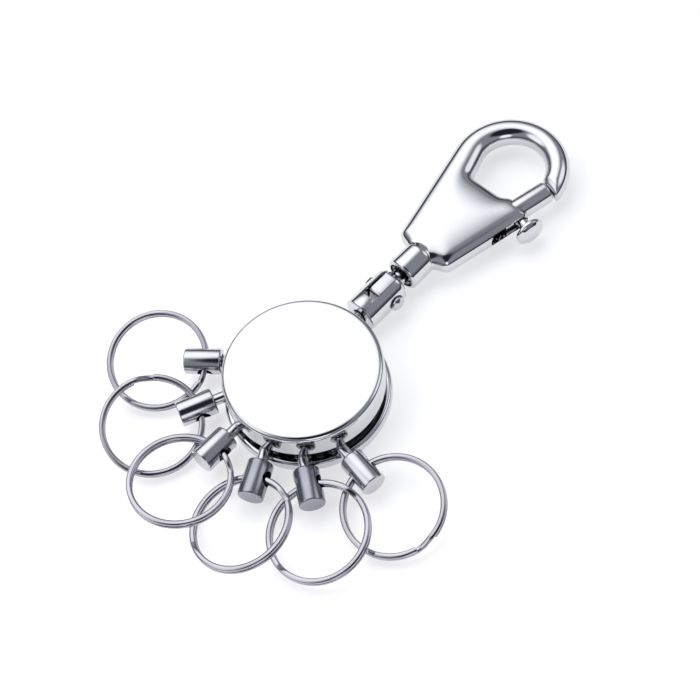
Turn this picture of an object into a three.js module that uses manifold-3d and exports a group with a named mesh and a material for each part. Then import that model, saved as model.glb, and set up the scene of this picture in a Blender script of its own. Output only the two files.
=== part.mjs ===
// Key organiser: a round two-disc body holding six split rings on headed stems,
// with a slotted clevis, a swivel stud and a sliding-bolt snap hook.
// Millimetres, +Z up. The origin is on the disc body's axis, at its underside;
// +X runs parallel to the snap hook, from the body towards the hook's loop.
import * as THREE from "three";
import { mergeVertices } from "three/addons/utils/BufferGeometryUtils.js";
import Module from "manifold-3d";

// ---- Driving dimensions ----

// Disc body: a base plate and a cover with a gap between their lips.
const discRadius = 16;
const coverRadius = 15.3; // the cover is a little smaller than the base
const baseTop = 2.5; // top of the base plate's lip
const gapHeight = 2.75; // between the two lips
const coverBottom = baseTop + gapHeight;
const coverTop = 10.8;
const coverRounding = 1; // radius of the cover's upper edge
const raceOuterRadius = 14.4; // the lips stand outside it
const baseFloor = 1.8;
const coverCeiling = 6;
const hubRadius = 5.3;
const hubBore = 4.25;
const hubTop = 8.2;
const hubFlange = 0.8; // thickness of the hub's top flange
const postRadius = 1.5;
const postTipRadius = 1.15;
const buttonRadius = 4;
const buttonThickness = 1.6; // the button lies flush with the underside

// Ball ends in the race: six for the rings and one for the clevis.
const ballHeight = baseTop + gapHeight / 2;
const ballCircle = 12.3; // distance of the ball centres from the disc axis
const ballRadius = 1.8;
const firstBallAzimuth = 103.6;
const ballPitch = 28.7;

// Ring carrier, along its own +X from the ball centre.
const stemRadius = 1.1;
const barrelStart = 5.6;
const barrelLength = 7.2;
const barrelRadius = 2.5;
const ringHoleAt = 8.8;
const ringHoleRadius = 1.5;
const socketRadius = 1.4;
const socketDepth = 1.2;
const fitGap = 0.3; // clearance around a stem in its socket

// Split ring: two flat turns.
const ringRadius = 10;
const ringWidth = 1.15; // radial
const ringThickness = 1.7; // both turns

// How the carriers lie at rest, in degrees. They fan out evenly. The third ring lies on
// top of the pile, and the rings on each side of it lean away from it like shingles.
// Rise tips a carrier's outer end up, roll turns it about its own axis, with its
// clockwise side up, and droop tips its ring's outer end down.
const firstDirection = 128;
const directionPitch = 26.5;
const carriers = [
  { rise: -1, roll: 14, droop: 0 },
  { rise: -1, roll: 14, droop: 0 },
  { rise: 3, roll: -2, droop: -2 },
  { rise: -2, roll: -14, droop: -2 },
  { rise: -1, roll: -12, droop: 2 },
  { rise: -1, roll: -12, droop: 2 },
];

// Snap hook axis and the pieces along it (world X positions).
const hookAxisY = 2.95;
const clevisStart = 17.8;
const clevisEnd = 27.8;
const clevisRadius = 3.6;
const clevisStemRadius = 1.3;
const slotFloor = 20.6;
const slotWidth = 3.1;
const clevisPinX = 24.5;
const clevisPinRadius = 0.9;
const clevisPinHole = 1.1;
const tongueThickness = 2.5;
const tongueHalfHeight = 2.9;
const tongueBack = 2.3; // from the pin to the tongue's free end
const tongueFront = 2.6; // from the pin to where the tongue narrows to the stud
const studRadius = 1.5;
const collarStart = 29.5;
const collarRadius = 3.5;
const collarMouth = 1.8; // depth of the collar's open mouth
const collarWeb = 1.2; // wall that retains the stud's head
const studHeadRadius = 2.5;
const studHeadThickness = 1.2;

// Snap hook body: a wedge that widens into a round loop.
const hookThickness = 6.4;
const hookEdge = 1.5; // bevel of the hook's edges
const loopCentreX = 61.2;
const loopRadius = 12;
const loopInnerRadius = 7.2;
const neckEndX = 34;
const shoulderX = 36.5;
const shoulderHalfWidth = 6.5;

// Gate: a bolt that slides parallel to the wedge's lower edge. Positions along it
// are measured from the point nearest the loop's centre, towards the nose.
const gateInset = 3.4; // bolt axis from the wedge's outer edge
const gateRadius = 2.25;
const gateBore = 2.45;
const gateFaceAt = -3.6; // where the bolt leaves the hook's body
const noseFaceAt = 3.1;
const gateTravel = 6;
const knobAt = -5.3;
const knobStemRadius = 1.2;
const knobHeadRadius = 3;
const knobHeadFrom = 13.7; // distance of the head's underside from the loop's centre
const knobHeadThickness = 1.7;
const boltRearAt = -8.6;
const springEndAt = -18.9;

// ---- Colours and finishes ----

const finish = (color, roughness) => new THREE.MeshStandardMaterial({ color, roughness, metalness: 1 });
const mirrorChrome = finish(0xe8e9ee, 0.06);
const satinChrome = finish(0xb4b5bd, 0.22);
const ringSteel = finish(0xa9a8b4, 0.28);
const darkSteel = finish(0x55565e, 0.4);
const springSteel = finish(0x8d8e96, 0.35);

// ---- Helpers ----

const wasm = await Module();
wasm.setup();

const radians = THREE.MathUtils.degToRad;

// A closed three.js geometry as a manifold-3d solid.
function solidOf(geometry) {
  const bare = geometry.index ? geometry.toNonIndexed() : geometry.clone();
  bare.deleteAttribute("normal");
  bare.deleteAttribute("uv");
  const merged = mergeVertices(bare, 1e-4);
  return new wasm.Manifold(
    new wasm.Mesh({
      numProp: 3,
      vertProperties: merged.attributes.position.array,
      triVerts: new Uint32Array(merged.index.array),
    }),
  );
}

// A manifold-3d solid as a three.js geometry.
function geometryOf(solid) {
  const mesh = solid.getMesh();
  const geometry = new THREE.BufferGeometry();
  geometry.setAttribute("position", new THREE.BufferAttribute(mesh.vertProperties, 3));
  geometry.setIndex(new THREE.BufferAttribute(mesh.triVerts, 1));
  return geometry;
}

function cut(body, ...tools) {
  return geometryOf(tools.reduce((left, tool) => left.subtract(solidOf(tool)), solidOf(body)));
}

function join(...pieces) {
  return geometryOf(pieces.map(solidOf).reduce((sum, piece) => sum.add(piece)));
}

// A turned piece about Z. The profile is a list of [radius, height], going up the outside.
function turned(profile, segments = 40) {
  const points = profile.map(([radius, height]) => new THREE.Vector2(radius, height));
  return new THREE.LatheGeometry(points, segments).rotateX(Math.PI / 2);
}

// The same about X, with the profile's heights along +X.
const turnedAlongX = (profile, segments = 24) => turned(profile, segments).rotateY(Math.PI / 2);

// A plain rod along X between two positions.
const rodX = (radius, from, to, segments = 24) =>
  turnedAlongX([[0, from], [radius, from], [radius, to], [0, to]], segments);

// A plain rod along Y through (x, 0, z).
const rodY = (radius, length, x, segments = 20) =>
  new THREE.CylinderGeometry(radius, radius, length, segments).translate(x, 0, 0);

// Points of an arc in the (radius, height) plane, angles in degrees.
function arc(cx, cy, radius, from, to, steps) {
  const points = [];
  for (let i = 0; i <= steps; i++) {
    const angle = radians(from + ((to - from) * i) / steps);
    points.push([cx + radius * Math.cos(angle), cy + radius * Math.sin(angle)]);
  }
  return points;
}

// A helical spring along +Z from one height to another.
class Helix extends THREE.Curve {
  constructor(radius, from, to, turns) {
    super();
    Object.assign(this, { radius, from, to, turns });
  }
  getPoint(t, target = new THREE.Vector3()) {
    const angle = t * this.turns * 2 * Math.PI;
    return target.set(
      this.radius * Math.cos(angle),
      this.radius * Math.sin(angle),
      this.from + (this.to - this.from) * t,
    );
  }
}

function coilSpring(radius, wire, from, to, turns, stepsPerTurn = 8) {
  const section = new THREE.Shape();
  for (let i = 0; i < 6; i++) {
    const angle = (i * Math.PI) / 3;
    const [x, y] = [(wire / 2) * Math.cos(angle), (wire / 2) * Math.sin(angle)];
    if (i) section.lineTo(x, y);
    else section.moveTo(x, y);
  }
  section.closePath();
  const path = new Helix(radius, from + wire / 2, to - wire / 2, turns);
  const steps = turns * stepsPerTurn;
  return new THREE.ExtrudeGeometry(section, { steps, extrudePath: path, bevelEnabled: false });
}

// A flat plate with bevelled edges, centred on its own XY plane. Outline points that
// fall together where two curves meet are dropped first, so that every bevel face is whole.
function bevelledPlate(shape, thickness, bevel, curveSegments) {
  const points = shape.getPoints(curveSegments);
  const apart = points.filter((point, i) => point.distanceTo(points[(i + 1) % points.length]) > 0.02);
  const depth = thickness - 2 * bevel;
  return new THREE.ExtrudeGeometry(new THREE.Shape(apart), {
    depth,
    bevelThickness: bevel,
    bevelSize: bevel,
    bevelOffset: -bevel,
    bevelSegments: 2,
  }).translate(0, 0, -depth / 2);
}

function piece(name, geometry, material) {
  const mesh = new THREE.Mesh(geometry, material);
  mesh.name = name;
  return mesh;
}

// A ball centre at a compass direction, a little inside the ball circle.
function onBallCircle(azimuth) {
  const angle = radians(azimuth);
  return new THREE.Vector3(ballCircle * Math.cos(angle), ballCircle * Math.sin(angle), ballHeight);
}

// ---- Disc body ----

const ballAzimuths = carriers.map((_, i) => firstBallAzimuth + i * ballPitch);
const clevisBall = new THREE.Vector3(Math.sqrt(ballCircle ** 2 - hookAxisY ** 2), hookAxisY, ballHeight);

function basePlate() {
  const edge = 0.6;
  return turned(
    [
      [hubBore, 0],
      [discRadius - edge, 0],
      [discRadius - 0.15, 0.2],
      [discRadius, edge],
      [discRadius, baseTop - edge],
      [discRadius - 0.15, baseTop - 0.2],
      [discRadius - edge, baseTop],
      [raceOuterRadius, baseTop],
      [raceOuterRadius, baseFloor],
      [hubRadius, baseFloor],
      [hubRadius, hubTop],
      [postRadius + 0.3, hubTop],
      [postRadius + 0.3, hubTop - hubFlange],
      [hubBore, hubTop - hubFlange],
      [hubBore, 0],
    ],
    44,
  );
}

function coverShell() {
  const cavityRadius = hubRadius + 0.7;
  const cavityTop = 9.2;
  const bossRadius = 3.2;
  const bossBottom = 8.6;
  const threadRadius = postTipRadius + 0.25;
  return turned(
    [
      [0, 10],
      [threadRadius, 10],
      [threadRadius, bossBottom],
      [bossRadius, bossBottom],
      [bossRadius, cavityTop],
      [cavityRadius, cavityTop],
      [cavityRadius, coverCeiling],
      [raceOuterRadius, coverCeiling],
      [raceOuterRadius, coverBottom],
      [coverRadius - 0.4, coverBottom],
      [coverRadius, coverBottom + 0.4],
      ...arc(coverRadius - coverRounding, coverTop - coverRounding, coverRounding, 0, 90, 4),
      [0, coverTop],
    ],
    44,
  );
}

// The cage keeps the ball ends apart: a thick washer with a round notch for each ball.
function cageRing() {
  const inner = hubRadius + 1.1;
  const outer = ballCircle - 0.5;
  const notchRadius = ballRadius + 0.6;
  const [bottom, top] = [baseFloor + 0.1, coverCeiling - 0.3];
  const washer = turned([[inner, bottom], [outer, bottom], [outer, top], [inner, top], [inner, bottom]], 36);
  const notches = [...ballAzimuths.map(onBallCircle), clevisBall].map((centre) =>
    turned([[0, 0], [notchRadius, 0], [notchRadius, 8], [0, 8]], 16).translate(centre.x, centre.y, 0),
  );
  return cut(washer, ...notches);
}

function centrePost() {
  return turned(
    [
      [0, 1],
      [postRadius, 1],
      [postRadius, 8.4],
      [postTipRadius, 8.5],
      [postTipRadius, 9.6],
      [postTipRadius - 0.25, 9.85],
      [0, 9.85],
    ],
    24,
  );
}

function releaseButton() {
  const socketFloor = 0.7;
  return turned(
    [
      [0, 0],
      [buttonRadius - 0.3, 0],
      [buttonRadius, 0.3],
      [buttonRadius, buttonThickness],
      [postRadius + 0.25, buttonThickness],
      [postRadius + 0.25, socketFloor],
      [0, socketFloor],
    ],
    36,
  );
}

const discBody = new THREE.Group();
discBody.add(
  piece("base_plate", basePlate(), mirrorChrome),
  piece("cover_shell", coverShell(), mirrorChrome),
  piece("cage_ring", cageRing(), darkSteel),
  piece("centre_post", centrePost(), satinChrome),
  piece("release_button", releaseButton(), mirrorChrome),
  piece("cover_spring", coilSpring(3.2, 0.6, buttonThickness + 0.1, hubTop - hubFlange - 0.1, 5), springSteel),
);

// ---- Ring carriers ----

// A headed stem along +X: a ball at the origin and a neck that ends in a socket.
function headedStem(neckRadius, end) {
  const neckAngle = (Math.asin(neckRadius / ballRadius) * 180) / Math.PI;
  const ball = arc(0, 0, ballRadius, -180, -neckAngle, 6).map(([x, r]) => [Math.abs(r), x]);
  ball[0] = [0, -ballRadius];
  return turnedAlongX([...ball, [neckRadius, end], [0, end]], 14);
}

function ringBarrel() {
  const edge = 0.35;
  const end = barrelStart + barrelLength;
  const body = turnedAlongX(
    [
      [0, barrelStart],
      [barrelRadius - edge, barrelStart],
      [barrelRadius, barrelStart + edge],
      [barrelRadius, end - edge],
      [barrelRadius - edge, end],
      [0, end],
    ],
    20,
  );
  return cut(
    body,
    rodY(ringHoleRadius, 3 * barrelRadius, ringHoleAt, 14),
    rodX(socketRadius, barrelStart - 1, barrelStart + socketDepth, 14),
  );
}

// Two flat turns pressed together, drawn as one ring with a groove where they meet.
function splitRing() {
  const half = ringThickness / 2;
  const inner = ringRadius - ringWidth;
  const groove = 0.12;
  return turned(
    [
      [inner, -half],
      [ringRadius, -half],
      [ringRadius, -groove],
      [ringRadius - groove, 0],
      [ringRadius, groove],
      [ringRadius, half],
      [inner, half],
      [inner, -half],
    ],
    36,
  );
}

function ringCarrier(number, { rise, roll, droop }) {
  const direction = firstDirection + directionPitch * (number - 1);
  const carrier = new THREE.Group();
  carrier.position.copy(onBallCircle(ballAzimuths[number - 1]));
  carrier.rotation.set(-radians(roll), -radians(rise), radians(direction), "ZYX");
  const ring = piece(`split_ring_${number}`, splitRing(), ringSteel);
  ring.position.x = ringRadius - ringWidth / 2;
  const hanger = new THREE.Group();
  hanger.position.x = ringHoleAt;
  hanger.rotation.y = radians(droop);
  hanger.add(ring);
  carrier.add(
    piece(`ring_stem_${number}`, headedStem(stemRadius, barrelStart + socketDepth - fitGap), satinChrome),
    piece(`ring_barrel_${number}`, ringBarrel(), satinChrome),
    hanger,
  );
  return carrier;
}

// ---- Clevis and swivel, along +X from the clevis ball ----

const alongHook = (x) => x - clevisBall.x;

function clevisBody() {
  const [start, end, edge] = [alongHook(clevisStart), alongHook(clevisEnd), 0.9];
  const barrel = turnedAlongX(
    [
      [0, start],
      [clevisRadius - 0.3, start],
      [clevisRadius, start + 0.3],
      [clevisRadius, end - edge],
      [clevisRadius - 0.3 * edge, end - 0.3 * edge],
      [clevisRadius - edge, end],
      [0, end],
    ],
    32,
  );
  const slotLength = clevisEnd - slotFloor + 1;
  const slot = new THREE.BoxGeometry(slotLength, slotWidth, 3 * clevisRadius).translate(
    alongHook(slotFloor) + slotLength / 2,
    0,
    0,
  );
  return cut(
    barrel,
    slot,
    rodY(clevisPinHole, 3 * clevisRadius, alongHook(clevisPinX)),
    rodX(clevisStemRadius + fitGap, start - 1, start + 1.5, 20),
  );
}

// A rivet along Y: a domed head on the -Y side and a small formed end on the other.
function clevisPin() {
  const seat = clevisRadius + 0.05;
  const profile = [
    [0, -seat - 0.4],
    [0.9, -seat - 0.35],
    [1.3, -seat - 0.05],
    [1.3, -seat],
    [clevisPinRadius, -seat],
    [clevisPinRadius, seat],
    [1.65, seat],
    [1.65, seat + 0.3],
    [1.25, seat + 0.7],
    [0.65, seat + 0.9],
    [0, seat + 0.95],
  ];
  return turned(profile, 20).rotateX(Math.PI / 2).translate(alongHook(clevisPinX), 0, 0);
}

function swivelStud() {
  const pinX = alongHook(clevisPinX);
  const waist = pinX + tongueFront + 1.5;
  const outline = new THREE.Shape();
  const upper = [
    [waist, studRadius - 0.1],
    [pinX + tongueFront, tongueHalfHeight],
    [pinX - tongueBack + 0.8, tongueHalfHeight],
    [pinX - tongueBack + 0.2, tongueHalfHeight - 0.25],
    [pinX - tongueBack, tongueHalfHeight - 0.8],
  ];
  const lower = upper.map(([x, y]) => [x, -y]).reverse();
  outline.setFromPoints([...upper, ...lower].map(([x, y]) => new THREE.Vector2(x, y)));
  outline.closePath();
  const tongue = bevelledPlate(outline, tongueThickness, 0.25, 8).rotateX(Math.PI / 2);
  const headStart = alongHook(collarStart) + collarMouth + collarWeb + 0.5;
  const headEnd = headStart + studHeadThickness;
  const stud = turnedAlongX(
    [
      [0, waist - 1.3],
      [studRadius - 0.4, waist - 1.3],
      [studRadius, waist - 0.8],
      [studRadius, headStart],
      [studHeadRadius, headStart],
      [studHeadRadius, headEnd - 0.3],
      [studHeadRadius - 0.5, headEnd],
      [0, headEnd],
    ],
    20,
  );
  return cut(join(tongue, stud), rodY(clevisPinHole, 3 * tongueThickness, pinX, 18));
}

const clevisGroup = new THREE.Group();
clevisGroup.position.copy(clevisBall);
clevisGroup.add(
  piece("clevis_stem", headedStem(clevisStemRadius, alongHook(clevisStart) + 1.2), satinChrome),
  piece("clevis_body", clevisBody(), mirrorChrome),
  piece("clevis_pin", clevisPin(), satinChrome),
  piece("swivel_stud", swivelStud(), satinChrome),
);

// ---- Snap hook, about the centre of its loop ----

const alongLoop = (x) => x - loopCentreX;

// The wedge's edges are tangent to the loop's outer circle.
const shoulder = new THREE.Vector2(alongLoop(shoulderX), shoulderHalfWidth);
const wedgeAngle = Math.asin(loopRadius / shoulder.length()) - Math.atan2(shoulder.y, -shoulder.x);
const gateAxisAt = loopRadius - gateInset;

// A point given by its distance along the gate's axis and its distance from the loop's centre.
function gatePoint(along, outward) {
  const [c, s] = [Math.cos(wedgeAngle), Math.sin(wedgeAngle)];
  return new THREE.Vector2(along * c - outward * s, -along * s - outward * c);
}

function hookOutline() {
  const neckHalf = collarRadius - 0.5;
  const neckU = alongLoop(neckEndX);
  const tangentAngle = Math.PI / 2 + wedgeAngle;
  const eyeLeft = -6.3;
  const eyeCorner = new THREE.Vector2(eyeLeft, 4.2);
  const eyeSlope = new THREE.Vector2(Math.cos(radians(19)), Math.sin(radians(19)));
  const eyeBend = eyeCorner.clone().addScaledVector(eyeSlope, 6.2);
  const eyeGuide = eyeBend.clone().addScaledVector(eyeSlope, 3.2);
  const noseOuter = gatePoint(noseFaceAt, Math.sqrt(loopRadius ** 2 - noseFaceAt ** 2));
  const noseInner = gatePoint(noseFaceAt, Math.sqrt(loopInnerRadius ** 2 - noseFaceAt ** 2));
  const faceInner = gatePoint(gateFaceAt, 5.9);
  const faceOuter = gatePoint(gateFaceAt, loopRadius);
  const outline = new THREE.Shape();
  outline.moveTo(neckU, -neckHalf);
  outline.bezierCurveTo(neckU + 1.4, -neckHalf, neckU + 0.9, -shoulder.y + 0.5, shoulder.x, -shoulder.y);
  outline.lineTo(faceOuter.x, faceOuter.y);
  outline.lineTo(faceInner.x, faceInner.y);
  outline.lineTo(eyeLeft, -3.6);
  outline.lineTo(eyeCorner.x, eyeCorner.y);
  outline.lineTo(eyeBend.x, eyeBend.y);
  outline.bezierCurveTo(eyeGuide.x, eyeGuide.y, loopInnerRadius, 4.2, loopInnerRadius, 0);
  outline.absarc(0, 0, loopInnerRadius, 0, noseInner.angle() - 2 * Math.PI, true);
  outline.lineTo(noseOuter.x, noseOuter.y);
  outline.absarc(0, 0, loopRadius, noseOuter.angle() - 2 * Math.PI, tangentAngle, false);
  outline.lineTo(shoulder.x, shoulder.y);
  outline.bezierCurveTo(neckU + 0.9, shoulder.y - 0.5, neckU + 1.4, neckHalf, neckU, neckHalf);
  outline.closePath();
  return outline;
}

// Turns a geometry drawn along +X into the gate's direction, with its origin on the gate's axis.
function onGateAxis(geometry) {
  const origin = gatePoint(0, gateAxisAt);
  return geometry.rotateZ(-wedgeAngle).translate(origin.x, origin.y, 0);
}

// The knob's slot: a stadium cut outwards through the wall.
function knobSlot() {
  const half = knobStemRadius + 0.3;
  const [back, front] = [knobAt - gateTravel, knobAt];
  const stadium = new THREE.Shape();
  stadium.absarc(front, 0, half, -Math.PI / 2, Math.PI / 2, false);
  stadium.absarc(back, 0, half, Math.PI / 2, (3 * Math.PI) / 2, false);
  stadium.closePath();
  const depth = gateInset + 3;
  const prism = new THREE.ExtrudeGeometry(stadium, { depth, bevelEnabled: false, curveSegments: 6 });
  return onGateAxis(prism.rotateX(Math.PI / 2));
}

function hookBody() {
  const plate = bevelledPlate(hookOutline(), hookThickness, hookEdge, 8);
  const collarU = alongLoop(collarStart);
  const collarEdge = 0.3;
  const collar = turnedAlongX(
    [
      [0, collarU],
      [collarRadius - collarEdge, collarU],
      [collarRadius, collarU + collarEdge],
      [collarRadius, alongLoop(neckEndX) + 0.6],
      [collarRadius - 1.2, alongLoop(neckEndX) + 2.4],
      [0, alongLoop(neckEndX) + 2.4],
    ],
    32,
  );
  const mouthEnd = collarU + collarMouth;
  const webEnd = mouthEnd + collarWeb;
  const headRoom = studHeadRadius + 0.3;
  const chamberEnd = webEnd + studHeadThickness + 1;
  const studBore = turnedAlongX(
    [
      [0, collarU - 1],
      [headRoom, collarU - 1],
      [headRoom, mouthEnd],
      [studRadius + 0.25, mouthEnd],
      [studRadius + 0.25, webEnd],
      [headRoom, webEnd],
      [headRoom, chamberEnd],
      [0, chamberEnd],
    ],
    28,
  );
  const boltBore = onGateAxis(rodX(gateBore, springEndAt, gateFaceAt + 2, 28));
  return cut(join(plate, collar), studBore, boltBore, knobSlot());
}

function gateBolt() {
  const edge = 0.3;
  const tip = noseFaceAt - 0.3;
  const bolt = turnedAlongX(
    [
      [0, boltRearAt],
      [gateRadius - edge, boltRearAt],
      [gateRadius, boltRearAt + edge],
      [gateRadius, tip - edge],
      [gateRadius - edge, tip],
      [0, tip],
    ],
    28,
  );
  const socket = new THREE.CylinderGeometry(knobStemRadius + 0.25, knobStemRadius + 0.25, 4, 20);
  return onGateAxis(cut(bolt, socket.translate(knobAt, -3, 0)));
}

// The knob points outwards from the hook, so its heights are distances from the gate's axis.
function thumbKnob() {
  const headFrom = knobHeadFrom - gateAxisAt;
  const headTo = headFrom + knobHeadThickness;
  const knob = turned(
    [
      [0, 1.3],
      [knobStemRadius, 1.3],
      [knobStemRadius, headFrom],
      [knobHeadRadius - 0.4, headFrom],
      [knobHeadRadius, headFrom + 0.4],
      [knobHeadRadius, headFrom + 0.7],
      [knobHeadRadius * 0.85, headFrom + 1.25],
      [knobHeadRadius * 0.5, headTo - 0.1],
      [0, headTo],
    ],
    28,
  );
  return onGateAxis(knob.rotateX(Math.PI / 2).translate(knobAt, 0, 0));
}

const gateSpring = () =>
  onGateAxis(coilSpring(1.7, 0.5, springEndAt + 0.1, boltRearAt - 0.1, 7).rotateY(Math.PI / 2));

const hookGroup = new THREE.Group();
hookGroup.position.set(loopCentreX, hookAxisY, ballHeight);
hookGroup.add(
  piece("hook_body", hookBody(), mirrorChrome),
  piece("gate_bolt", gateBolt(), mirrorChrome),
  piece("thumb_knob", thumbKnob(), mirrorChrome),
  piece("gate_spring", gateSpring(), springSteel),
);

// ---- Assembly ----

const keyOrganiser = new THREE.Group();
keyOrganiser.add(discBody, clevisGroup, hookGroup, ...carriers.map((lie, i) => ringCarrier(i + 1, lie)));

export default keyOrganiser;
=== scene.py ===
"""Key organiser in chrome: two-disc body, six split rings on headed stems, clevis, swivel
and snap hook. Pieces are built in millimetres and put in place in the row frame, in metres."""
import math

import bmesh
import bpy
import numpy as np
from mathutils import Matrix, Vector
from mathutils.geometry import delaunay_2d_cdt


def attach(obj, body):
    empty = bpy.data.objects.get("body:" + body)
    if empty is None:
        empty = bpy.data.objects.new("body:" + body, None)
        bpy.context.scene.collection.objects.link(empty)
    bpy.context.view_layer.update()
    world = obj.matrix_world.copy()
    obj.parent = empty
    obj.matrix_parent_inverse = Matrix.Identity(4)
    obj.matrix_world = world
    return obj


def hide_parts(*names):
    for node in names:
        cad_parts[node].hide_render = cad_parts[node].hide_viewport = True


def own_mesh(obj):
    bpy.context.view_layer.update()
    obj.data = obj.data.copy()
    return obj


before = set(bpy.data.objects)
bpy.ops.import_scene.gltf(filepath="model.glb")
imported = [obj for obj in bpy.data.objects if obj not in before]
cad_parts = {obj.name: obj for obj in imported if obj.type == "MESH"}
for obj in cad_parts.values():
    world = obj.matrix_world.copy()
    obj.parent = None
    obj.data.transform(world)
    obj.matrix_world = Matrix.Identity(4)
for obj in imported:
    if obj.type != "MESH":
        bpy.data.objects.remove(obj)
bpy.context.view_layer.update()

MM = 0.001

# ---- Driving dimensions, in millimetres ----

DISC_RADIUS = 16
COVER_RADIUS = 15.3
BASE_FLOOR, BASE_TOP = 1.8, 2.5
COVER_BOTTOM, COVER_INSIDE, COVER_TOP = 5.25, 9.2, 10.8
RACE_RADIUS = 14.4  # inside both discs' rims
HUB_RADIUS = 5.3
HUB_BORE = 4.25
HUB_TOP = 8.2
POST_RADIUS = 1.5
POST_TOP, POST_SHOULDER = 9.85, 8.4
BUTTON_RADIUS = 4
BUTTON_TOP = 1.6
CAGE_BOTTOM, CAGE_TOP = 1.9, 5.7
CAGE_INNER, CAGE_OUTER = 6.4, 11.8
CAGE_NOTCH_RADIUS = 2.4
BALL_HEIGHT = 3.875
BALL_CIRCLE = 12.3
BALL_RADIUS = 1.8
FIRST_BALL_AZIMUTH = 103.6
BALL_PITCH = 28.7
STEM_RADIUS, CLEVIS_STEM_RADIUS = 1.1, 1.3
BARREL_START = 5.6
BARREL_END = 12.8
BARREL_RADIUS = 2.5
RING_HOLE_AT = 8.8
RING_HOLE_RADIUS = 1.5
SOCKET_RADIUS = 1.4
RING_RADIUS = 10
WIRE_WIDTH = 1.15
WIRE_THICKNESS = 0.83
HOOK_Y = 2.95
CLEVIS_RADIUS = 3.6
CLEVIS_START, CLEVIS_END = 17.8, 27.8
SLOT_FLOOR, SLOT_WIDTH = 20.6, 3.1
PIN_X = 24.5
PIN_RADIUS, PIN_HOLE_RADIUS = 0.9, 1.1
STUD_RADIUS, STUD_HEAD_RADIUS = 1.5, 2.5
COLLAR_START = 29.5
COLLAR_RADIUS = 3.5
LOOP_X = 61.2
LOOP_RADIUS = 11.96
LOOP_INNER = 7.2
SHOULDER_X, SHOULDER_HALF = 36.5, 6.5
NECK_X = 34
HOOK_HALF = 3.2
GATE_AXIS_AT = 8.6
GATE_RADIUS, GATE_BORE_RADIUS = 2.25, 2.45
GATE_FACE_AT = -3.6
NOSE_FACE_AT = 3.1
KNOB_AT = -5.3
KNOB_STEM_RADIUS, KNOB_SOCKET_RADIUS, KNOB_SLOT_RADIUS = 1.2, 1.45, 1.5
KNOB_HEAD_RADIUS, KNOB_HEAD_FROM = 3, 5.1
GATE_TRAVEL = 6
BOLT_REAR_AT = -8.6
SPRING_END_AT = -18.9

# The carriers fan out evenly, in degrees. The third ring lies on top of the pile.
FIRST_DIRECTION, DIRECTION_PITCH = 128, 26.5
# Each carrier: rise, roll, the ring's droop, and where the split in its ring lies.
CARRIERS = [
    (-1, 14, 0, 165),
    (-1, 14, 0, -100),
    (3, -2, -2, 150),
    (-2, -14, -2, 135),
    (-1, -12, 2, 125),
    (-1, -12, 2, 0),
]


# ---- Materials ----

OWN_PLACE = "own_place"  # each point's place in its piece's own frame, which the grain follows


def metal(name, light, dark, roughness, spread, grain=(260, 260, 260), bump=0.0):
    """Plated metal whose tint and roughness drift over fine grain, with a slow cloudiness."""
    material = bpy.data.materials.new(name)
    material.use_nodes = True
    nodes, links = material.node_tree.nodes, material.node_tree.links
    shader = nodes["Principled BSDF"]
    shader.inputs["Metallic"].default_value = 1
    place = nodes.new("ShaderNodeAttribute")
    place.attribute_name = OWN_PLACE
    stretch = nodes.new("ShaderNodeMapping")
    stretch.inputs["Scale"].default_value = grain
    links.new(place.outputs["Vector"], stretch.inputs["Vector"])
    fine = nodes.new("ShaderNodeTexNoise")
    fine.inputs["Scale"].default_value = 6
    fine.inputs["Detail"].default_value = 4
    links.new(stretch.outputs["Vector"], fine.inputs["Vector"])
    cloud = nodes.new("ShaderNodeTexNoise")
    cloud.inputs["Scale"].default_value = 90
    cloud.inputs["Detail"].default_value = 2
    links.new(place.outputs["Vector"], cloud.inputs["Vector"])
    tint = nodes.new("ShaderNodeValToRGB")
    tint.color_ramp.elements[0].position = 0.35
    tint.color_ramp.elements[0].color = (*dark, 1)
    tint.color_ramp.elements[1].position = 0.65
    tint.color_ramp.elements[1].color = (*light, 1)
    links.new(cloud.outputs["Fac"], tint.inputs["Fac"])
    links.new(tint.outputs["Color"], shader.inputs["Base Color"])
    gloss = nodes.new("ShaderNodeMapRange")
    gloss.inputs["To Min"].default_value = roughness - spread
    gloss.inputs["To Max"].default_value = roughness + spread
    links.new(fine.outputs["Fac"], gloss.inputs["Value"])
    links.new(gloss.outputs["Result"], shader.inputs["Roughness"])
    if bump:
        relief = nodes.new("ShaderNodeBump")
        relief.inputs["Strength"].default_value = bump
        relief.inputs["Distance"].default_value = 0.00002
        links.new(fine.outputs["Fac"], relief.inputs["Height"])
        links.new(relief.outputs["Normal"], shader.inputs["Normal"])
    return material


TURNED = (900, 30, 30)  # marks run round the local X axis
MIRROR = metal("mirror_chrome", (0.67, 0.675, 0.70), (0.645, 0.65, 0.675), 0.05, 0.02)
SATIN = metal("satin_chrome", (0.62, 0.615, 0.65), (0.56, 0.555, 0.59), 0.14, 0.05, TURNED, 0.12)
GUNMETAL = metal("gunmetal_chrome", (0.36, 0.36, 0.41), (0.30, 0.30, 0.35), 0.19, 0.06, TURNED, 0.12)
RING_STEEL = metal("ring_steel", (0.50, 0.49, 0.54), (0.40, 0.39, 0.44), 0.11, 0.04, bump=0.06)
DARK_STEEL = metal("dark_steel", (0.19, 0.19, 0.2), (0.12, 0.12, 0.13), 0.35, 0.08, bump=0.2)
SPRING_STEEL = metal("spring_steel", (0.6, 0.6, 0.63), (0.5, 0.5, 0.53), 0.24, 0.05)


# ---- Mesh helpers ----

SHARP, SHARP_ON_SWEEPS = 40, 50  # edges over this angle, in degrees, stay crisp


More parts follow.
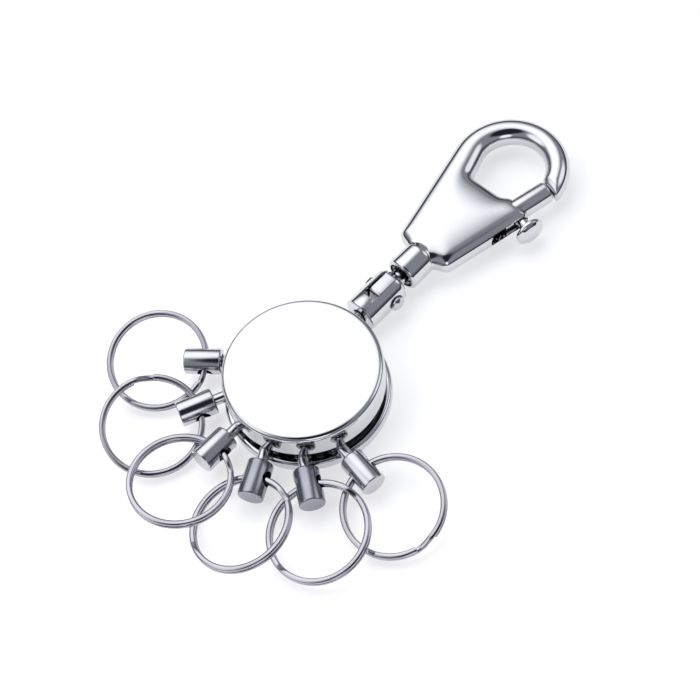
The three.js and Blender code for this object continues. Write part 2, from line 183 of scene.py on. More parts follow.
def solid(name, verts, faces, material, sharp=SHARP):
    """A mesh object from millimetre points, merged, facing out and shaded smooth up to an angle."""
    mesh = bpy.data.meshes.new(name)
    mesh.from_pydata([Vector(v) * MM for v in verts], [], faces)
    shape = bmesh.new()
    shape.from_mesh(mesh)
    bmesh.ops.remove_doubles(shape, verts=shape.verts, dist=1e-7)
    bmesh.ops.recalc_face_normals(shape, faces=shape.faces)
    shape.to_mesh(mesh)
    shape.free()
    obj = bpy.data.objects.new(name, mesh)
    bpy.context.scene.collection.objects.link(obj)
    mesh.materials.append(material)
    soften(obj, sharp)
    return obj


def soften(obj, sharp=SHARP):
    """Shades a piece smooth, apart from its sharp edges."""
    obj.data.shade_smooth()
    obj.data.set_sharp_from_angle(angle=math.radians(sharp))


def skin(loops):
    """Vertices and faces of a capped tube through equal closed loops of points."""
    count = len(loops[0])
    verts = [tuple(p) for loop in loops for p in loop]
    faces = []
    for here in range(0, (len(loops) - 1) * count, count):
        there = here + count
        for k in range(count):
            after = (k + 1) % count
            faces.append((here + k, here + after, there + after, there + k))
    last = (len(loops) - 1) * count
    faces += [tuple(range(count))[::-1], tuple(range(last, last + count))]
    return verts, faces


FILLET_STEPS = 5


def filleted(corners):
    """Points of a line through (x, y, fillet radius) corners."""
    points = []
    for i, (x, y, radius) in enumerate(corners):
        here = np.array([x, y], float)
        if not radius or i in (0, len(corners) - 1):
            points.append(here)
            continue
        back = np.array(corners[i - 1][:2], float) - here
        ahead = np.array(corners[i + 1][:2], float) - here
        back, ahead = back / np.linalg.norm(back), ahead / np.linalg.norm(ahead)
        half = math.acos(max(-1, min(1, float(back @ ahead)))) / 2
        middle = here + (back + ahead) / np.linalg.norm(back + ahead) * radius / math.sin(half)
        first = here + back * radius / math.tan(half) - middle
        last = here + ahead * radius / math.tan(half) - middle
        sweep = math.pi - 2 * half
        for k in range(FILLET_STEPS + 1):
            t = k / FILLET_STEPS
            arm = (math.sin((1 - t) * sweep) * first + math.sin(t * sweep) * last) / math.sin(sweep)
            points.append(middle + arm)
    return points


def turned(name, corners, material, axis="Z", segments=96):
    """A turned piece about an axis from (height, radius, fillet) corners; a closed profile
    ends where it starts, and any other one starts and ends on the axis."""
    profile = filleted(corners)
    closed = np.allclose(profile[0], profile[-1])
    if closed:
        profile = profile[:-1]
    loops = []
    for k in range(segments):
        angle = 2 * math.pi * k / segments
        c, s = math.cos(angle), math.sin(angle)
        if axis == "Z":
            loops.append([(r * c, r * s, h) for h, r in profile])
        else:
            loops.append([(h, r * c, r * s) for h, r in profile])
    count = len(profile)
    verts = [p for loop in loops for p in loop]
    faces = []
    for k in range(segments):
        here, there = k * count, (k + 1) % segments * count
        for j in range(count if closed else count - 1):
            after = (j + 1) % count
            quad = [here + j, here + after, there + after, there + j]
            if profile[j][1] < 1e-6:
                quad.remove(there + j)
            if profile[after][1] < 1e-6:
                quad.remove(there + after)
            faces.append(tuple(quad))
    return solid(name, verts, faces, material)


def bake(obj):
    """Applies an object's modifiers to its mesh."""
    graph = bpy.context.evaluated_depsgraph_get()
    mesh = bpy.data.meshes.new_from_object(obj.evaluated_get(graph))
    obj.modifiers.clear()
    obj.data = mesh


def combine(obj, operation, *tools):
    """Cuts tools out of a piece, or joins them to it, and removes them."""
    for tool in tools:
        step = obj.modifiers.new("step", "BOOLEAN")
        step.object, step.operation, step.solver = tool, operation, "EXACT"
    bake(obj)
    for tool in tools:
        bpy.data.objects.remove(tool)
    soften(obj)


def chamfer(obj, width):
    """Breaks the piece's sharp edges by a small width in millimetres."""
    edge = obj.modifiers.new("edge", "BEVEL")
    edge.width, edge.segments, edge.limit_method = width * MM, 2, "ANGLE"
    edge.angle_limit = math.radians(50)
    bake(obj)
    soften(obj)


def rod(radius, start, end, axis="X"):
    """A plain rod for cutting, along X, or along Y through the origin."""
    tool = turned("tool", [(start, 0, 0), (start, radius, 0), (end, radius, 0), (end, 0, 0)], SATIN,
                  "X", 48)
    if axis == "Y":
        tool.data.transform(Matrix.Rotation(math.pi / 2, 4, "Z"))
    return tool


def moved(obj, matrix):
    """The same piece with its mesh moved."""
    obj.data.transform(matrix)
    return obj


def shift(x, y=0.0, z=0.0):
    """A move in millimetres, as a matrix in metres."""
    return Matrix.Translation(Vector((x, y, z)) * MM)


def spring(name, coil_radius, wire, start, end, turns, axis):
    """A wire helix with closed, flat ends."""
    loops = []
    steps, sides = int(turns * 28), 10
    for i in range(steps + 1):
        t = i / steps
        flat = min(1, max(0, (t - 0.08) / 0.84))
        climb = flat * flat * (3 - 2 * flat) * 0.35 + flat * 0.65
        height = start + wire / 2 + (end - start - wire) * climb
        angle = 2 * math.pi * turns * t
        loop = []
        for k in range(sides):
            around = 2 * math.pi * k / sides
            radius = coil_radius + wire / 2 * math.cos(around)
            rise = height + wire / 2 * math.sin(around)
            point = (radius * math.cos(angle), radius * math.sin(angle), rise)
            loop.append(point if axis == "Z" else (point[2], point[0], point[1]))
        loops.append(loop)
    return solid(name, *skin(loops), SPRING_STEEL)


def own_place(mesh):
    """Keeps each point's place in the piece's own frame, for its material."""
    points = np.zeros(len(mesh.vertices) * 3, np.float32)
    mesh.vertices.foreach_get("co", points)
    mesh.attributes.new(OWN_PLACE, "FLOAT_VECTOR", "POINT").data.foreach_set("vector", points)


def finish(obj, body, node, place=None):
    """Puts a piece in place, hangs it on the body it rides on and hides the part it stands for."""
    own_place(obj.data)
    if place is not None:
        obj.data.transform(place)
    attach(obj, body)
    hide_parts(node)


def ball_place(number):
    """Where a carrier's ball sits, numbered from 1."""
    azimuth = math.radians(FIRST_BALL_AZIMUTH + BALL_PITCH * (number - 1))
    return shift(BALL_CIRCLE * math.cos(azimuth), BALL_CIRCLE * math.sin(azimuth), BALL_HEIGHT)


# ---- Disc body ----

def disc_body():
    base = turned("base_shell", [
        (0, HUB_BORE, 0), (0, DISC_RADIUS, 0.7), (BASE_TOP, DISC_RADIUS, 0.75), (BASE_TOP, RACE_RADIUS, 0.15),
        (BASE_FLOOR, RACE_RADIUS, 0.1), (BASE_FLOOR, HUB_RADIUS, 0.3), (HUB_TOP, HUB_RADIUS, 0.3),
        (HUB_TOP, POST_RADIUS + 0.3, 0.1), (HUB_TOP - 0.8, POST_RADIUS + 0.3, 0),
        (HUB_TOP - 0.8, HUB_BORE, 0), (0, HUB_BORE, 0),
    ], MIRROR, segments=160)
    finish(base, "base", "base_plate")
    cover = turned("cover_dome", [
        (10, 0, 0), (10, 1.4, 0), (8.6, 1.4, 0), (8.6, 3.2, 0.1), (COVER_INSIDE, 3.2, 0),
        (COVER_INSIDE, 6, 0.1), (6, 6, 0), (6, RACE_RADIUS, 0.2), (COVER_BOTTOM, RACE_RADIUS, 0.1),
        (COVER_BOTTOM, COVER_RADIUS, 0.35),
        (COVER_TOP, COVER_RADIUS, 1.0), (COVER_TOP, 13.4, 0), (COVER_TOP, 0, 0),
    ], MIRROR, segments=160)
    finish(cover, "cover", "cover_shell")
    post = turned("post_turned", [
        (1, 0, 0), (1, POST_RADIUS, 0.15), (POST_SHOULDER, POST_RADIUS, 0.1),
        (POST_SHOULDER + 0.05, 1.15, 0), (POST_TOP, 1.15, 0.2), (POST_TOP, 0, 0),
    ], SATIN)
    finish(post, "cover", "centre_post")
    button = turned("button_disc", [
        (0, 0, 0), (0, 2.2, 0.3), (0.12, 2.5, 0.3), (0.12, 2.9, 0.2), (0, 3.1, 0.1), (0, BUTTON_RADIUS, 0.3),
        (BUTTON_TOP, BUTTON_RADIUS, 0.1), (BUTTON_TOP, POST_RADIUS + 0.25, 0), (0.7, POST_RADIUS + 0.25, 0),
        (0.7, 0, 0),
    ], MIRROR)
    finish(button, "cover", "release_button")
    low, high = BUTTON_TOP + 0.1, HUB_TOP - 0.9
    coil = spring("cover_coil", 3.2, 0.6, low, high, 5, "Z")
    finish(coil, "base", "cover_spring")
    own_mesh(coil)
    cage = turned("cage_washer", [
        (CAGE_BOTTOM, 9, 0), (CAGE_BOTTOM, CAGE_OUTER, 0.2), (CAGE_TOP, CAGE_OUTER, 0.2),
        (CAGE_TOP, CAGE_INNER, 0.2), (CAGE_BOTTOM, CAGE_INNER, 0.2), (CAGE_BOTTOM, 9, 0),
    ], DARK_STEEL)
    places = [ball_place(number) for number in range(1, 7)] + [HOOK_AXIS @ shift(CLEVIS_BALL_X)]
    notch = [(-4, 0, 0), (-4, CAGE_NOTCH_RADIUS, 0), (4, CAGE_NOTCH_RADIUS, 0), (4, 0, 0)]
    notches = [moved(turned("tool", notch, DARK_STEEL, segments=48), place) for place in places]
    combine(cage, "DIFFERENCE", *notches)
    chamfer(cage, 0.1)
    finish(cage, "base", "cage_ring")


# ---- Ring carriers ----

def headed_stem(name, radius, end):
    """A ball at the origin with a stem along X."""
    neck, steps = math.asin(radius / BALL_RADIUS), 16
    corners = []
    for i in range(steps + 1):
        angle = math.pi - (math.pi - neck) * i / steps
        corners.append((BALL_RADIUS * math.cos(angle), BALL_RADIUS * math.sin(angle) if i else 0, 0))
    corners += [(end, radius, 0.12), (end, 0, 0)]
    return turned(name, corners, SATIN, "X", 48)


def split_ring(name, split):
    """Flat wire wound twice. One short ramp takes it from the lower turn to the upper one,
    and its two ends lie on either side of that ramp."""
    loops, steps, sides = [], 300, 24
    ramp, ends = math.radians(10), math.radians(12)
    first, last = ends, 4 * math.pi - ends
    half_w, half_t = WIRE_WIDTH / 2, WIRE_THICKNESS / 2
    for i in range(steps + 1):
        turn = first + (last - first) * i / steps
        t = min(1, max(0, (turn - 2 * math.pi + ramp) / (2 * ramp)))
        level = (t * t * (3 - 2 * t) - 0.5) * (WIRE_THICKNESS + 0.03)
        near_end = min(turn - first, last - turn)
        slim = 0.86 + 0.14 * min(1, near_end / 0.05) ** 0.5
        angle = turn + split
        loop = []
        for k in range(sides):
            a = 2 * math.pi * (k + 0.5) / sides
            c, s = math.cos(a), math.sin(a)
            across = half_w * slim * math.copysign(abs(c) ** 0.8, c)
            up = half_t * slim * math.copysign(abs(s) ** 0.8, s)
            radius = RING_RADIUS - half_w + across
            loop.append((radius * math.cos(angle), radius * math.sin(angle), level + up))
        loops.append(loop)
    return solid(name, *skin(loops), RING_STEEL, SHARP_ON_SWEEPS)


def ring_barrel(name, material):
    """A barrel along X with a cross hole for its ring and a socket for its stem."""
    body = turned(name, [
        (BARREL_START, 0, 0), (BARREL_START, BARREL_RADIUS, 0.35), (BARREL_END, BARREL_RADIUS, 0.3),
        (BARREL_END, 2.1, 0), (BARREL_END, 0, 0),
    ], material, "X", 80)
    hole = moved(rod(RING_HOLE_RADIUS, -6, 6, "Y"), shift(RING_HOLE_AT))
    socket = rod(SOCKET_RADIUS, BARREL_START - 1, BARREL_START + 1.2)
    combine(body, "DIFFERENCE", hole, socket)
    return body


def ring_carriers():
    barrel_metal = {1: SATIN, 2: SATIN, 3: SATIN, 4: GUNMETAL, 5: GUNMETAL, 6: SATIN}
    for number, (rise, roll, droop, split) in enumerate(CARRIERS, 1):
        lie = (
            ball_place(number)
            @ Matrix.Rotation(math.radians(FIRST_DIRECTION + DIRECTION_PITCH * (number - 1)), 4, "Z")
            @ Matrix.Rotation(math.radians(-rise), 4, "Y")
            @ Matrix.Rotation(math.radians(-roll), 4, "X")
        )
        ring_lie = (
            lie @ shift(RING_HOLE_AT) @ Matrix.Rotation(math.radians(droop), 4, "Y")
            @ shift(RING_RADIUS - WIRE_WIDTH / 2)
        )
        carrier = f"carrier_{number}"
        stem = headed_stem(f"stem_{number}", STEM_RADIUS, BARREL_START + 0.9)
        finish(stem, carrier, f"ring_stem_{number}", lie)
        barrel = ring_barrel(f"barrel_{number}", barrel_metal[number])
        finish(barrel, carrier, f"ring_barrel_{number}", lie)
        ring = split_ring(f"ring_{number}_wire", math.radians(split))
        finish(ring, f"ring_{number}", f"split_ring_{number}", ring_lie)


# ---- Clevis and swivel, in a frame whose X runs along the hook's axis ----

HOOK_AXIS = shift(0, HOOK_Y, BALL_HEIGHT)
CLEVIS_BALL_X = math.sqrt(BALL_CIRCLE ** 2 - HOOK_Y ** 2)


def box_tool(low, high):
    """A box for cutting, between two corners."""
    (x0, y0, z0), (x1, y1, z1) = low, high
    lower = [(x0, y0, z0), (x1, y0, z0), (x1, y1, z0), (x0, y1, z0)]
    upper = [(x, y, z1) for x, y, _ in lower]
    return solid("tool", *skin([lower, upper]), SATIN)


def clevis():
    stem = headed_stem("clevis_neck", CLEVIS_STEM_RADIUS, CLEVIS_START + 1.2 - CLEVIS_BALL_X)
    finish(stem, "clevis", "clevis_stem", HOOK_AXIS @ shift(CLEVIS_BALL_X))
    body = turned("clevis_fork", [
        (CLEVIS_START, 0, 0), (CLEVIS_START, CLEVIS_RADIUS, 0.3), (CLEVIS_END, CLEVIS_RADIUS, 1.3),
        (CLEVIS_END, 0, 0),
    ], MIRROR, "X", 96)
    half = SLOT_WIDTH / 2
    slot = box_tool((SLOT_FLOOR, -half, -6), (CLEVIS_END + 2, half, 6))
    pin_hole = moved(rod(PIN_HOLE_RADIUS, -6, 6, "Y"), shift(PIN_X))
    socket = rod(CLEVIS_STEM_RADIUS + 0.3, CLEVIS_START - 1, CLEVIS_START + 1.5)
    combine(body, "DIFFERENCE", slot, pin_hole, socket)
    chamfer(body, 0.14)
    finish(body, "clevis", "clevis_body", HOOK_AXIS)
    seat = CLEVIS_RADIUS + 0.05
    pin = turned("clevis_rivet", [
        (-seat - 0.95, 0, 0), (-seat - 0.85, 0.9, 0.4), (-seat - 0.4, 1.6, 0.3), (-seat, 1.65, 0.1),
        (-seat, PIN_RADIUS, 0), (seat, PIN_RADIUS, 0), (seat, 1.3, 0.05), (seat + 0.35, 1.0, 0.2),
        (seat + 0.4, 0, 0),
    ], SATIN, "X", 64)
    moved(pin, shift(PIN_X) @ Matrix.Rotation(math.pi / 2, 4, "Z"))
    finish(pin, "clevis", "clevis_pin", HOOK_AXIS)


def swivel():
    head_at = COLLAR_START + 3.5
    waist, back, front, half = PIN_X + 4.1, PIN_X - 2.3, PIN_X + 2.6, 2.9
    outline = [tuple(p) for p in filleted([
        (PIN_X, half, 0), (back, half, 0.8), (back, -half, 0.8), (front, -half, 0.6), (waist, -1.4, 0.3),
        (waist, 1.4, 0), (front, half, 0.6), (PIN_X, half, 0)])][:-1]
    sides = [[(x, y, z) for x, z in outline] for y in (-1.25, 1.25)]
    tongue = solid("swivel_post", *skin(sides), SATIN)
    stud = turned("tool", [
        (waist - 1.3, 0, 0), (waist - 1.3, STUD_RADIUS - 0.4, 0), (waist - 0.8, STUD_RADIUS, 0.2),
        (head_at - 0.5, STUD_RADIUS, 0), (head_at, STUD_RADIUS, 0.05), (head_at, STUD_HEAD_RADIUS, 0.15),
        (head_at + 1.2, STUD_HEAD_RADIUS, 0.3), (head_at + 1.2, 0, 0),
    ], SATIN, "X", 64)
    combine(tongue, "UNION", stud)
    combine(tongue, "DIFFERENCE", moved(rod(PIN_HOLE_RADIUS, -4, 4, "Y"), shift(PIN_X)))
    chamfer(tongue, 0.16)
    finish(tongue, "swivel", "swivel_stud", HOOK_AXIS)


# ---- Snap hook, about the centre of its loop ----

HOOK_CENTRE = shift(LOOP_X, HOOK_Y, BALL_HEIGHT)
SHOULDER = np.array([SHOULDER_X - LOOP_X, SHOULDER_HALF])
WEDGE = math.asin(LOOP_RADIUS / np.linalg.norm(SHOULDER)) - math.atan2(SHOULDER[1], -SHOULDER[0])
CORNER = 0.7  # how far the outline's corners are rounded
EDGE_DEPTH = 2.4  # how far the rounded edge reaches in from the outline
EDGE_POWER = 2.5  # 2 is a round edge, higher is squarer
CROWN, CROWN_REACH = 1.2, 7.5  # how far the faces are pillowed, and how far in from the outline
OUTLINE_STEP = 0.2
EYE_BACK, EYE_HALF = -6.3, 4.2  # the D-shaped eye's flat back, and its half width


def gate_point(along, outward):
    """A point of the plan, measured along the bolt and out from the loop's centre."""
    c, s = math.cos(WEDGE), math.sin(WEDGE)
    return np.array([along * c - outward * s, -along * s - outward * c])


def arc_points(radius, start, end):
    count = max(8, int(abs(end - start) * radius / OUTLINE_STEP))
    return [radius * np.array([math.cos(a), math.sin(a)]) for a in np.linspace(start, end, count)]


def bezier_points(a, b, c, d):
    t = np.linspace(0, 1, 40)[:, None]
    a, b, c, d = (np.array(p, float) for p in (a, b, c, d))
    return list((1 - t) ** 3 * a + 3 * (1 - t) ** 2 * t * b + 3 * (1 - t) * t ** 2 * c + t ** 3 * d)


def hook_outline():
    """The hook's plan as an even closed line with rounded corners."""
    half, neck = COLLAR_RADIUS - 0.5, NECK_X - LOOP_X
    x, y = SHOULDER
    nose_out = gate_point(NOSE_FACE_AT, math.sqrt(LOOP_RADIUS ** 2 - NOSE_FACE_AT ** 2))
    nose_in = gate_point(NOSE_FACE_AT, math.sqrt(LOOP_INNER ** 2 - NOSE_FACE_AT ** 2))
    face_in = gate_point(GATE_FACE_AT - 0.5, 5.7)
    face_out = gate_point(GATE_FACE_AT - 0.3, LOOP_RADIUS)
    bulge = GATE_FACE_AT + 0.7
    corner = np.array([EYE_BACK, EYE_HALF])
    slope = np.array([math.cos(math.radians(19)), math.sin(math.radians(19))])
    bend, guide = corner + 6.2 * slope, corner + 9.4 * slope
    angle_in = math.atan2(nose_in[1], nose_in[0])
    angle_out = math.atan2(nose_out[1], nose_out[0])
    line = [np.array([neck - 1.5, half - 1]), np.array([neck - 1.5, 1 - half])]
    line += bezier_points((neck, -half), (neck + 1.6, -half), (neck + 0.9, -y + 0.4), (x, -y))
    line += bezier_points(face_out, gate_point(bulge, 10), gate_point(bulge, 8), face_in)
    line += [np.array([EYE_BACK, 0.6 - EYE_HALF]), corner]
    line += bezier_points(bend, guide, (LOOP_INNER, EYE_HALF), (LOOP_INNER, 0))
    line += arc_points(LOOP_INNER, 0, angle_in)
    line += arc_points(LOOP_RADIUS, angle_out, math.pi / 2 + WEDGE)
    line += bezier_points((x, y), (neck + 0.9, y - 0.4), (neck + 1.6, half), (neck, half))
    line = np.array(line)
    closed = np.vstack([line, line[:1]])
    run = np.concatenate([[0], np.cumsum(np.linalg.norm(np.diff(closed, axis=0), axis=1))])
    count = int(run[-1] / OUTLINE_STEP)
    at = np.arange(count) * run[-1] / count
    even = np.stack([np.interp(at, run, closed[:, k]) for k in (0, 1)], 1)
    reach = 12
    weights = np.exp(-0.5 * (np.arange(-reach, reach + 1) * OUTLINE_STEP / CORNER) ** 2)
    return sum(w * np.roll(even, k - reach, 0) for k, w in enumerate(weights)) / weights.sum()


def depth_inside(points, line):
    """Each point's distance from the outline."""
    a, b = line, np.roll(line, -1, 0)
    ab = b - a
    best = np.full(len(points), 1e9)
    for i in range(0, len(points), 500):
        p = points[i:i + 500, None, :]
        t = np.clip(((p - a) * ab).sum(2) / (ab * ab).sum(1), 0, 1)
        best[i:i + 500] = np.linalg.norm(p - (a + t[..., None] * ab), axis=2).min(1)
    return best


def inside(points, line):
    """Whether each point lies within the outline."""
    crossings = np.zeros(len(points), int)
    for (x0, y0), (x1, y1) in zip(line, np.roll(line, -1, 0)):
        if y0 != y1:
            spans = (y0 > points[:, 1]) != (y1 > points[:, 1])
            crossings += spans & (points[:, 0] < x0 + (points[:, 1] - y0) * (x1 - x0) / (y1 - y0))
    return crossings % 2 == 1


def crown_map(line):
    """How far the pillowed faces lie below the hook's full thickness, on an even grid, blurred
    so that no ridge shows in the polish. Returns a function of points."""
    cell, blur, margin = 0.25, 0.9, 2
    low = line.min(0) - margin
    size = np.ceil((line.max(0) + margin - low) / cell).astype(int)
    grid = np.stack(np.meshgrid(np.arange(size[0]), np.arange(size[1]), indexing="ij"), -1)
    points = low + grid.reshape(-1, 2) * cell
    depth = np.where(inside(points, line), depth_inside(points, line), 0)
    drop = (CROWN * np.clip(1 - depth / CROWN_REACH, 0, 1) ** 2).reshape(size)
    reach = int(3 * blur / cell)
    weights = np.exp(-0.5 * (np.arange(-reach, reach + 1) * cell / blur) ** 2)
    weights /= weights.sum()
    for axis in (0, 1):
        padded = np.pad(drop, [(reach, reach) if a == axis else (0, 0) for a in (0, 1)], mode="edge")
        drop = sum(w * np.take(padded, np.arange(k, k + size[axis]), axis) for k, w in enumerate(weights))

    def sample(at):
        place = (at - low) / cell
        corner = np.clip(np.floor(place).astype(int), 0, size - 2)
        i, j = corner.T
        u, v = (place - corner).T
        return ((1 - u) * (1 - v) * drop[i, j] + u * (1 - v) * drop[i + 1, j]
                + (1 - u) * v * drop[i, j + 1] + u * v * drop[i + 1, j + 1])

    return sample


def hook_shell():
    """The hook's body as one smooth closed surface: rows of points that follow the outline,
    an even grid inside them, and a height for each."""
    line = hook_outline()
    tangent = np.roll(line, -1, 0) - np.roll(line, 1, 0)
    normal = np.stack([-tangent[:, 1], tangent[:, 0]], 1)
    normal /= np.linalg.norm(normal, axis=1)[:, None]
    area = 0.5 * np.sum(line[:, 0] * np.roll(line[:, 1], -1) - np.roll(line[:, 0], -1) * line[:, 1])
    normal *= math.copysign(1, area)
    steps = 13
    depths = [EDGE_DEPTH * (1 - max(0, math.cos(math.pi / 2 * k / steps)) ** (2 / EDGE_POWER))
              for k in range(1, steps + 1)]
    rows = []
    for depth in depths + [2.75, 3.15, 3.6]:
        row = line + normal * depth
        rows.append(row[depth_inside(row, line) > depth - 0.004])
    low, high = line.min(0), line.max(0)
    pitch, row_pitch = 0.5, 0.43
    grid = np.array([(x + (j % 2) * pitch / 2, y)
                     for j, y in enumerate(np.arange(low[1], high[1], row_pitch))
                     for x in np.arange(low[0], high[0], pitch)])
    grid = grid[depth_inside(grid, line) > 3.9]
    points = np.vstack([line, *rows, grid])
    count = len(line)
    verts, _, faces, *_ = delaunay_2d_cdt(
        [Vector(p) for p in points], [(i, (i + 1) % count) for i in range(count)], [], 1, 1e-5)
    plan = np.array([(v.x, v.y) for v in verts])
    depth = depth_inside(plan, line)
    edge = np.clip(1 - depth / EDGE_DEPTH, 0, 1)
    height = (HOOK_HALF - crown_map(line)(plan)) * (1 - edge ** EDGE_POWER) ** (1 / EDGE_POWER)
    height[depth < 0.001] = 0  # the two faces meet on the outline
    total = len(plan)
    mesh_verts = [(x, y, side * z) for side in (1, -1) for (x, y), z in zip(plan, height)]
    mesh_faces = [tuple(f) for f in faces] + [tuple(i + total for i in f)[::-1] for f in faces]
    return solid("hook_cast", mesh_verts, mesh_faces, MIRROR, SHARP_ON_SWEEPS)


GATE = Matrix.Rotation(-WEDGE, 4, "Z")
GATE.translation = Vector((*gate_point(0, GATE_AXIS_AT), 0)) * MM


def knob_slot():
    """A stadium cut outwards, along the gate frame's -Y."""
    outline, steps = [], 16
    for middle, start in ((KNOB_AT, -90), (KNOB_AT - GATE_TRAVEL, 90)):
        for i in range(steps + 1):
            angle = math.radians(start + 180 * i / steps)
            outline.append((middle + KNOB_SLOT_RADIUS * math.cos(angle), KNOB_SLOT_RADIUS * math.sin(angle)))
    return solid("tool", *skin([[(x, y, z) for x, z in outline] for y in (0, -8)]), SATIN)


def snap_hook():
    body = hook_shell()
    start, collar_end, collar_root = COLLAR_START - LOOP_X, NECK_X + 0.9 - LOOP_X, NECK_X + 4 - LOOP_X
    collar = turned("tool", [
        (start, 0, 0), (start, COLLAR_RADIUS, 0.55), (collar_end, COLLAR_RADIUS, 1.6),
        (collar_root, 2, 0), (collar_root, 0, 0),
    ], MIRROR, "X", 96)
    combine(body, "UNION", collar)
    mouth, web = COLLAR_START + 1.8 - LOOP_X, COLLAR_START + 3.0 - LOOP_X
    stud_bore = turned("tool", [
        (start - 1, 0, 0), (start - 1, 2.9, 0), (start + 0.3, 2.75, 0), (mouth, 2.75, 0), (mouth, 1.75, 0),
        (web, 1.75, 0), (web, 2.8, 0), (web + 2.2, 2.8, 0), (web + 2.2, 0, 0),
    ], SATIN, "X", 64)
    gate_bore = moved(rod(GATE_BORE_RADIUS, SPRING_END_AT, GATE_FACE_AT + 3), GATE)
    combine(body, "DIFFERENCE", stud_bore, gate_bore, moved(knob_slot(), GATE))
    soften(body, SHARP_ON_SWEEPS)
    finish(body, "hook", "hook_body", HOOK_CENTRE)

    place, tip = HOOK_CENTRE @ GATE, NOSE_FACE_AT - 0.3
    bolt = turned("bolt_rod", [
        (BOLT_REAR_AT, 0, 0), (BOLT_REAR_AT, GATE_RADIUS, 0.3), (tip, GATE_RADIUS, 0.35), (tip, 0, 0),
    ], MIRROR, "X", 80)
    socket = moved(rod(KNOB_SOCKET_RADIUS, -5, -1, "Y"), shift(KNOB_AT))
    combine(bolt, "DIFFERENCE", socket)
    finish(bolt, "gate", "gate_bolt", place)

    top = KNOB_HEAD_FROM + 1.7
    knob = turned("knob_button", [
        (1.3, 0, 0), (1.3, KNOB_STEM_RADIUS, 0.1), (KNOB_HEAD_FROM, KNOB_STEM_RADIUS, 0.3),
        (KNOB_HEAD_FROM, KNOB_HEAD_RADIUS, 0.25), (KNOB_HEAD_FROM + 0.75, KNOB_HEAD_RADIUS, 0.4),
        (KNOB_HEAD_FROM + 1.3, 2.3, 0.9), (top, 1.0, 1.5), (top, 0, 0),
    ], MIRROR, "X", 80)
    moved(knob, shift(KNOB_AT) @ Matrix.Rotation(-math.pi / 2, 4, "Z"))
    finish(knob, "gate", "thumb_knob", place)

    low, high = SPRING_END_AT + 0.1, BOLT_REAR_AT - 0.1
    coil = spring("gate_coil", 1.7, 0.5, low, high, 7, "X")
    finish(coil, "hook", "gate_spring", place)
    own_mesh(coil)


# ---- Studio ----

CAMERA_AZIMUTH, CAMERA_ELEVATION, CAMERA_ROLL = -125.8, 58.6, 12.65
CAMERA_DISTANCE = 398.2
CAMERA_LENS, SENSOR = 108, 36
AIM_RIGHT, AIM_UP = 7.69, 8.85  # the view's centre from the frame's origin
FLOOR_SIZE, FLOOR_CELLS = 1200, 24

DOME_GREY, HORIZON_GREY = (0.30, 0.31, 0.345), (0.06, 0.06, 0.07)
# Each card: azimuth, elevation, the angles from its middle where it starts and ends to fade, and its shade.
CARDS = [
    (CAMERA_AZIMUTH + 205, 54, 9, 42, (1.6, 1.61, 1.64)),
    (CAMERA_AZIMUTH - 85, 38, 10, 26, (1.3, 1.3, 1.33)),
    (CAMERA_AZIMUTH + 100, 34, 8, 22, (1.2, 1.2, 1.23)),
    (CAMERA_AZIMUTH, 26, 9, 17, (1.3, 1.3, 1.33)),
    (CAMERA_AZIMUTH, 65, 19, 29, (0.02, 0.02, 0.03)),
]


def direction(azimuth, elevation):
    """A unit vector from angles in degrees."""
    a, e = math.radians(azimuth), math.radians(elevation)
    return Vector((math.cos(e) * math.cos(a), math.cos(e) * math.sin(a), math.sin(e)))


def camera():
    """The main view: its axes are built by hand so that it can roll about its own line of sight."""
    back = direction(CAMERA_AZIMUTH, CAMERA_ELEVATION)
    right = Vector((0, 0, 1)).cross(back).normalized()
    up = back.cross(right)
    roll = math.radians(CAMERA_ROLL)
    across = right * math.cos(roll) - up * math.sin(roll)
    above = right * math.sin(roll) + up * math.cos(roll)
    lens = bpy.data.cameras.new("camera")
    lens.lens, lens.sensor_width, lens.clip_start = CAMERA_LENS, SENSOR, 0.01
    obj = bpy.data.objects.new("camera", lens)
    bpy.context.scene.collection.objects.link(obj)
    place = Matrix((across, above, back)).transposed().to_4x4()
    place.translation = (back * CAMERA_DISTANCE + across * AIM_RIGHT + above * AIM_UP) * MM
    obj.matrix_world = place
    bpy.context.scene.camera = obj


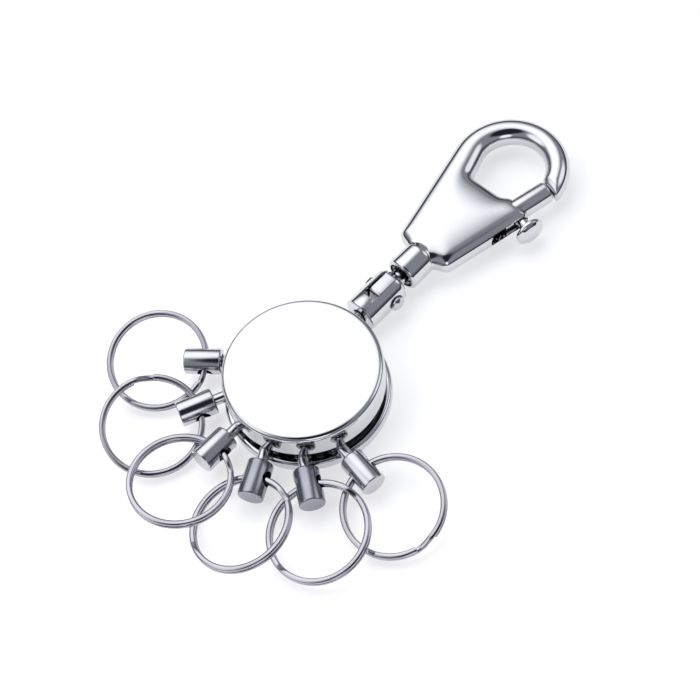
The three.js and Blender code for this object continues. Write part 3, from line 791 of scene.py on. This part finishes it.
def sky():
    """A grey studio dome for the chrome, with white boxes and dark cards that fade at their rims."""
    world = bpy.data.worlds.new("studio")
    bpy.context.scene.world = world
    world.use_nodes = True
    nodes, links = world.node_tree.nodes, world.node_tree.links
    way = nodes.new("ShaderNodeTexCoord")
    parts = nodes.new("ShaderNodeSeparateXYZ")
    links.new(way.outputs["Generated"], parts.inputs["Vector"])
    horizon = nodes.new("ShaderNodeValToRGB")
    ramp = horizon.color_ramp
    ramp.elements[0].position, ramp.elements[0].color = 0.0, (*HORIZON_GREY, 1)
    ramp.elements[1].position, ramp.elements[1].color = 0.4, (*DOME_GREY, 1)
    ramp.elements.new(0.15).color = (*HORIZON_GREY, 1)
    links.new(parts.outputs["Z"], horizon.inputs["Fac"])
    colour = horizon.outputs["Color"]
    for azimuth, elevation, inner, outer, shade in CARDS:
        dot = nodes.new("ShaderNodeVectorMath")
        dot.operation = "DOT_PRODUCT"
        dot.inputs[1].default_value = direction(azimuth, elevation)
        links.new(way.outputs["Generated"], dot.inputs[0])
        share = nodes.new("ShaderNodeMapRange")
        share.interpolation_type = "SMOOTHSTEP"
        share.inputs["From Min"].default_value = math.cos(math.radians(outer))
        share.inputs["From Max"].default_value = math.cos(math.radians(inner))
        links.new(dot.outputs["Value"], share.inputs["Value"])
        mix = nodes.new("ShaderNodeMix")
        mix.data_type = "RGBA"
        links.new(share.outputs["Result"], mix.inputs["Factor"])
        links.new(colour, mix.inputs["A"])
        mix.inputs["B"].default_value = (*shade, 1)
        colour = mix.outputs["Result"]
    links.new(colour, nodes["Background"].inputs["Color"])


def soft_light(name, azimuth, elevation, distance, size, power, shadows=True):
    """A round lamp aimed at the origin, in metres and watts, which the chrome doesn't mirror."""
    lamp = bpy.data.lights.new(name, "AREA")
    lamp.shape, lamp.size, lamp.energy, lamp.use_shadow = "DISK", size, power, shadows
    obj = bpy.data.objects.new(name, lamp)
    bpy.context.scene.collection.objects.link(obj)
    way = direction(azimuth, elevation)
    obj.matrix_world = way.to_track_quat("Z", "Y").to_matrix().to_4x4()
    obj.location = way * distance
    obj.visible_glossy = False


def floor():
    """A pale sheet of paper just under the organiser."""
    line = [FLOOR_SIZE * (i / FLOOR_CELLS - 0.5) for i in range(FLOOR_CELLS + 1)]
    verts = [(x, y, -0.02) for y in line for x in line]
    corners = [j * len(line) + i for j in range(FLOOR_CELLS) for i in range(FLOOR_CELLS)]
    faces = [(k, k + 1, k + len(line) + 1, k + len(line)) for k in corners]
    paper = bpy.data.materials.new("paper")
    paper.use_nodes = True
    shader = paper.node_tree.nodes["Principled BSDF"]
    shader.inputs["Base Color"].default_value = (0.96, 0.96, 0.96, 1)
    shader.inputs["Roughness"].default_value = 0.9
    shader.inputs["Specular IOR Level"].default_value = 0.1
    solid("floor", verts, faces, paper)


disc_body()
ring_carriers()
clevis()
swivel()
snap_hook()
floor()
camera()
sky()
soft_light("key", CAMERA_AZIMUTH + 150, 62, 0.6, 0.3, 0.15)
soft_light("fill", CAMERA_AZIMUTH - 60, 60, 0.6, 0.4, 2.35, shadows=False)
bpy.context.scene.view_settings.view_transform = "Standard"

bpy.context.view_layer.update()
